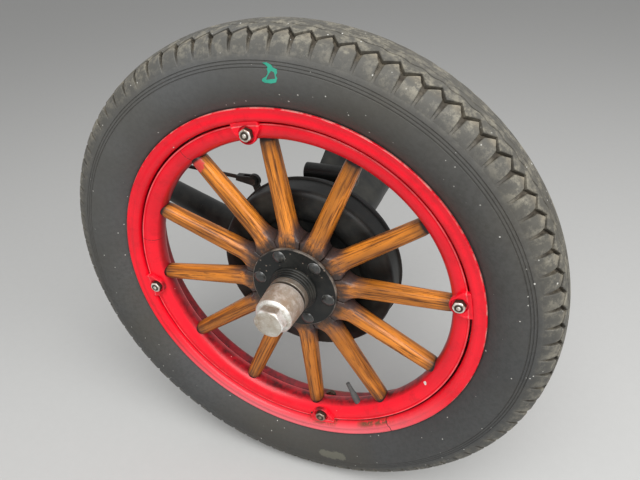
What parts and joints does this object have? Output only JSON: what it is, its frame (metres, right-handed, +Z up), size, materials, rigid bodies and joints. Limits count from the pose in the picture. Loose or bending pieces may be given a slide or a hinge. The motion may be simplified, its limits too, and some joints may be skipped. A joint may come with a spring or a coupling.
{
  "type": "wooden-spoked vehicle wheel with demountable rim, brake drum and axle end",
  "caption": "Road wheel of a vintage vehicle with varnished wooden spokes, red steel rim, black drum and its axle end.",
  "frame": {"origin": "on the wheel's axis, at the inboard end of the axle tube", "axes": "+Y inboard along the wheel's axis, +Z up, +X along the vehicle"},
  "size_m": [0.762, 0.529, 0.7619],
  "materials": {
    "tyre_rubber": "matt, dusty",
    "red_paint": "gloss, chipped",
    "spoke_wood": "varnished, dark grain",
    "black_paint": "satin, chipped",
    "worn_steel": "worn, stained",
    "dark_iron": "oily, dusty",
    "valve_rubber": "matt"
  },
  "bodies": {
    "axle_end": {"axle_housing": "black_paint", "backing_plate": "black_paint", "brake_camshaft": "dark_iron", "brake_clevis": "black_paint", "brake_lever": "black_paint", "brake_rod": "dark_iron", "clevis_pin": "dark_iron", "outer_bearing": "dark_iron", "plate_bolts": "dark_iron", "plate_nuts": "dark_iron", "radius_rod": "black_paint", "radius_rod_bolt": "dark_iron", "shackle_pins": "dark_iron", "spring_leaves": "black_paint", "spring_perch": "black_paint", "spring_shackle": "black_paint"},
    "wheel": {"axle_shaft": "dark_iron", "brake_drum": "black_paint", "felloe": "red_paint", "hub_bolts": "black_paint", "hub_cap": "worn_steel", "hub_collar": "black_paint", "hub_nuts": "dark_iron", "hub_plate": "black_paint", "hub_shell": "black_paint", "lug_bolts": "dark_iron", "lug_nuts": "red_paint", "rim": "red_paint", "rim_lugs": "red_paint", "spokes": "spoke_wood", "tyre": "tyre_rubber", "valve_stem": "valve_rubber"}
  },
  "joints": [
    {"name": "wheel_spin", "type": "hinge", "parent": "axle_end", "child": "wheel", "pos_m": [0, -0.419, 0], "axis": [0, 1, 0], "continuous": true}
  ]
}
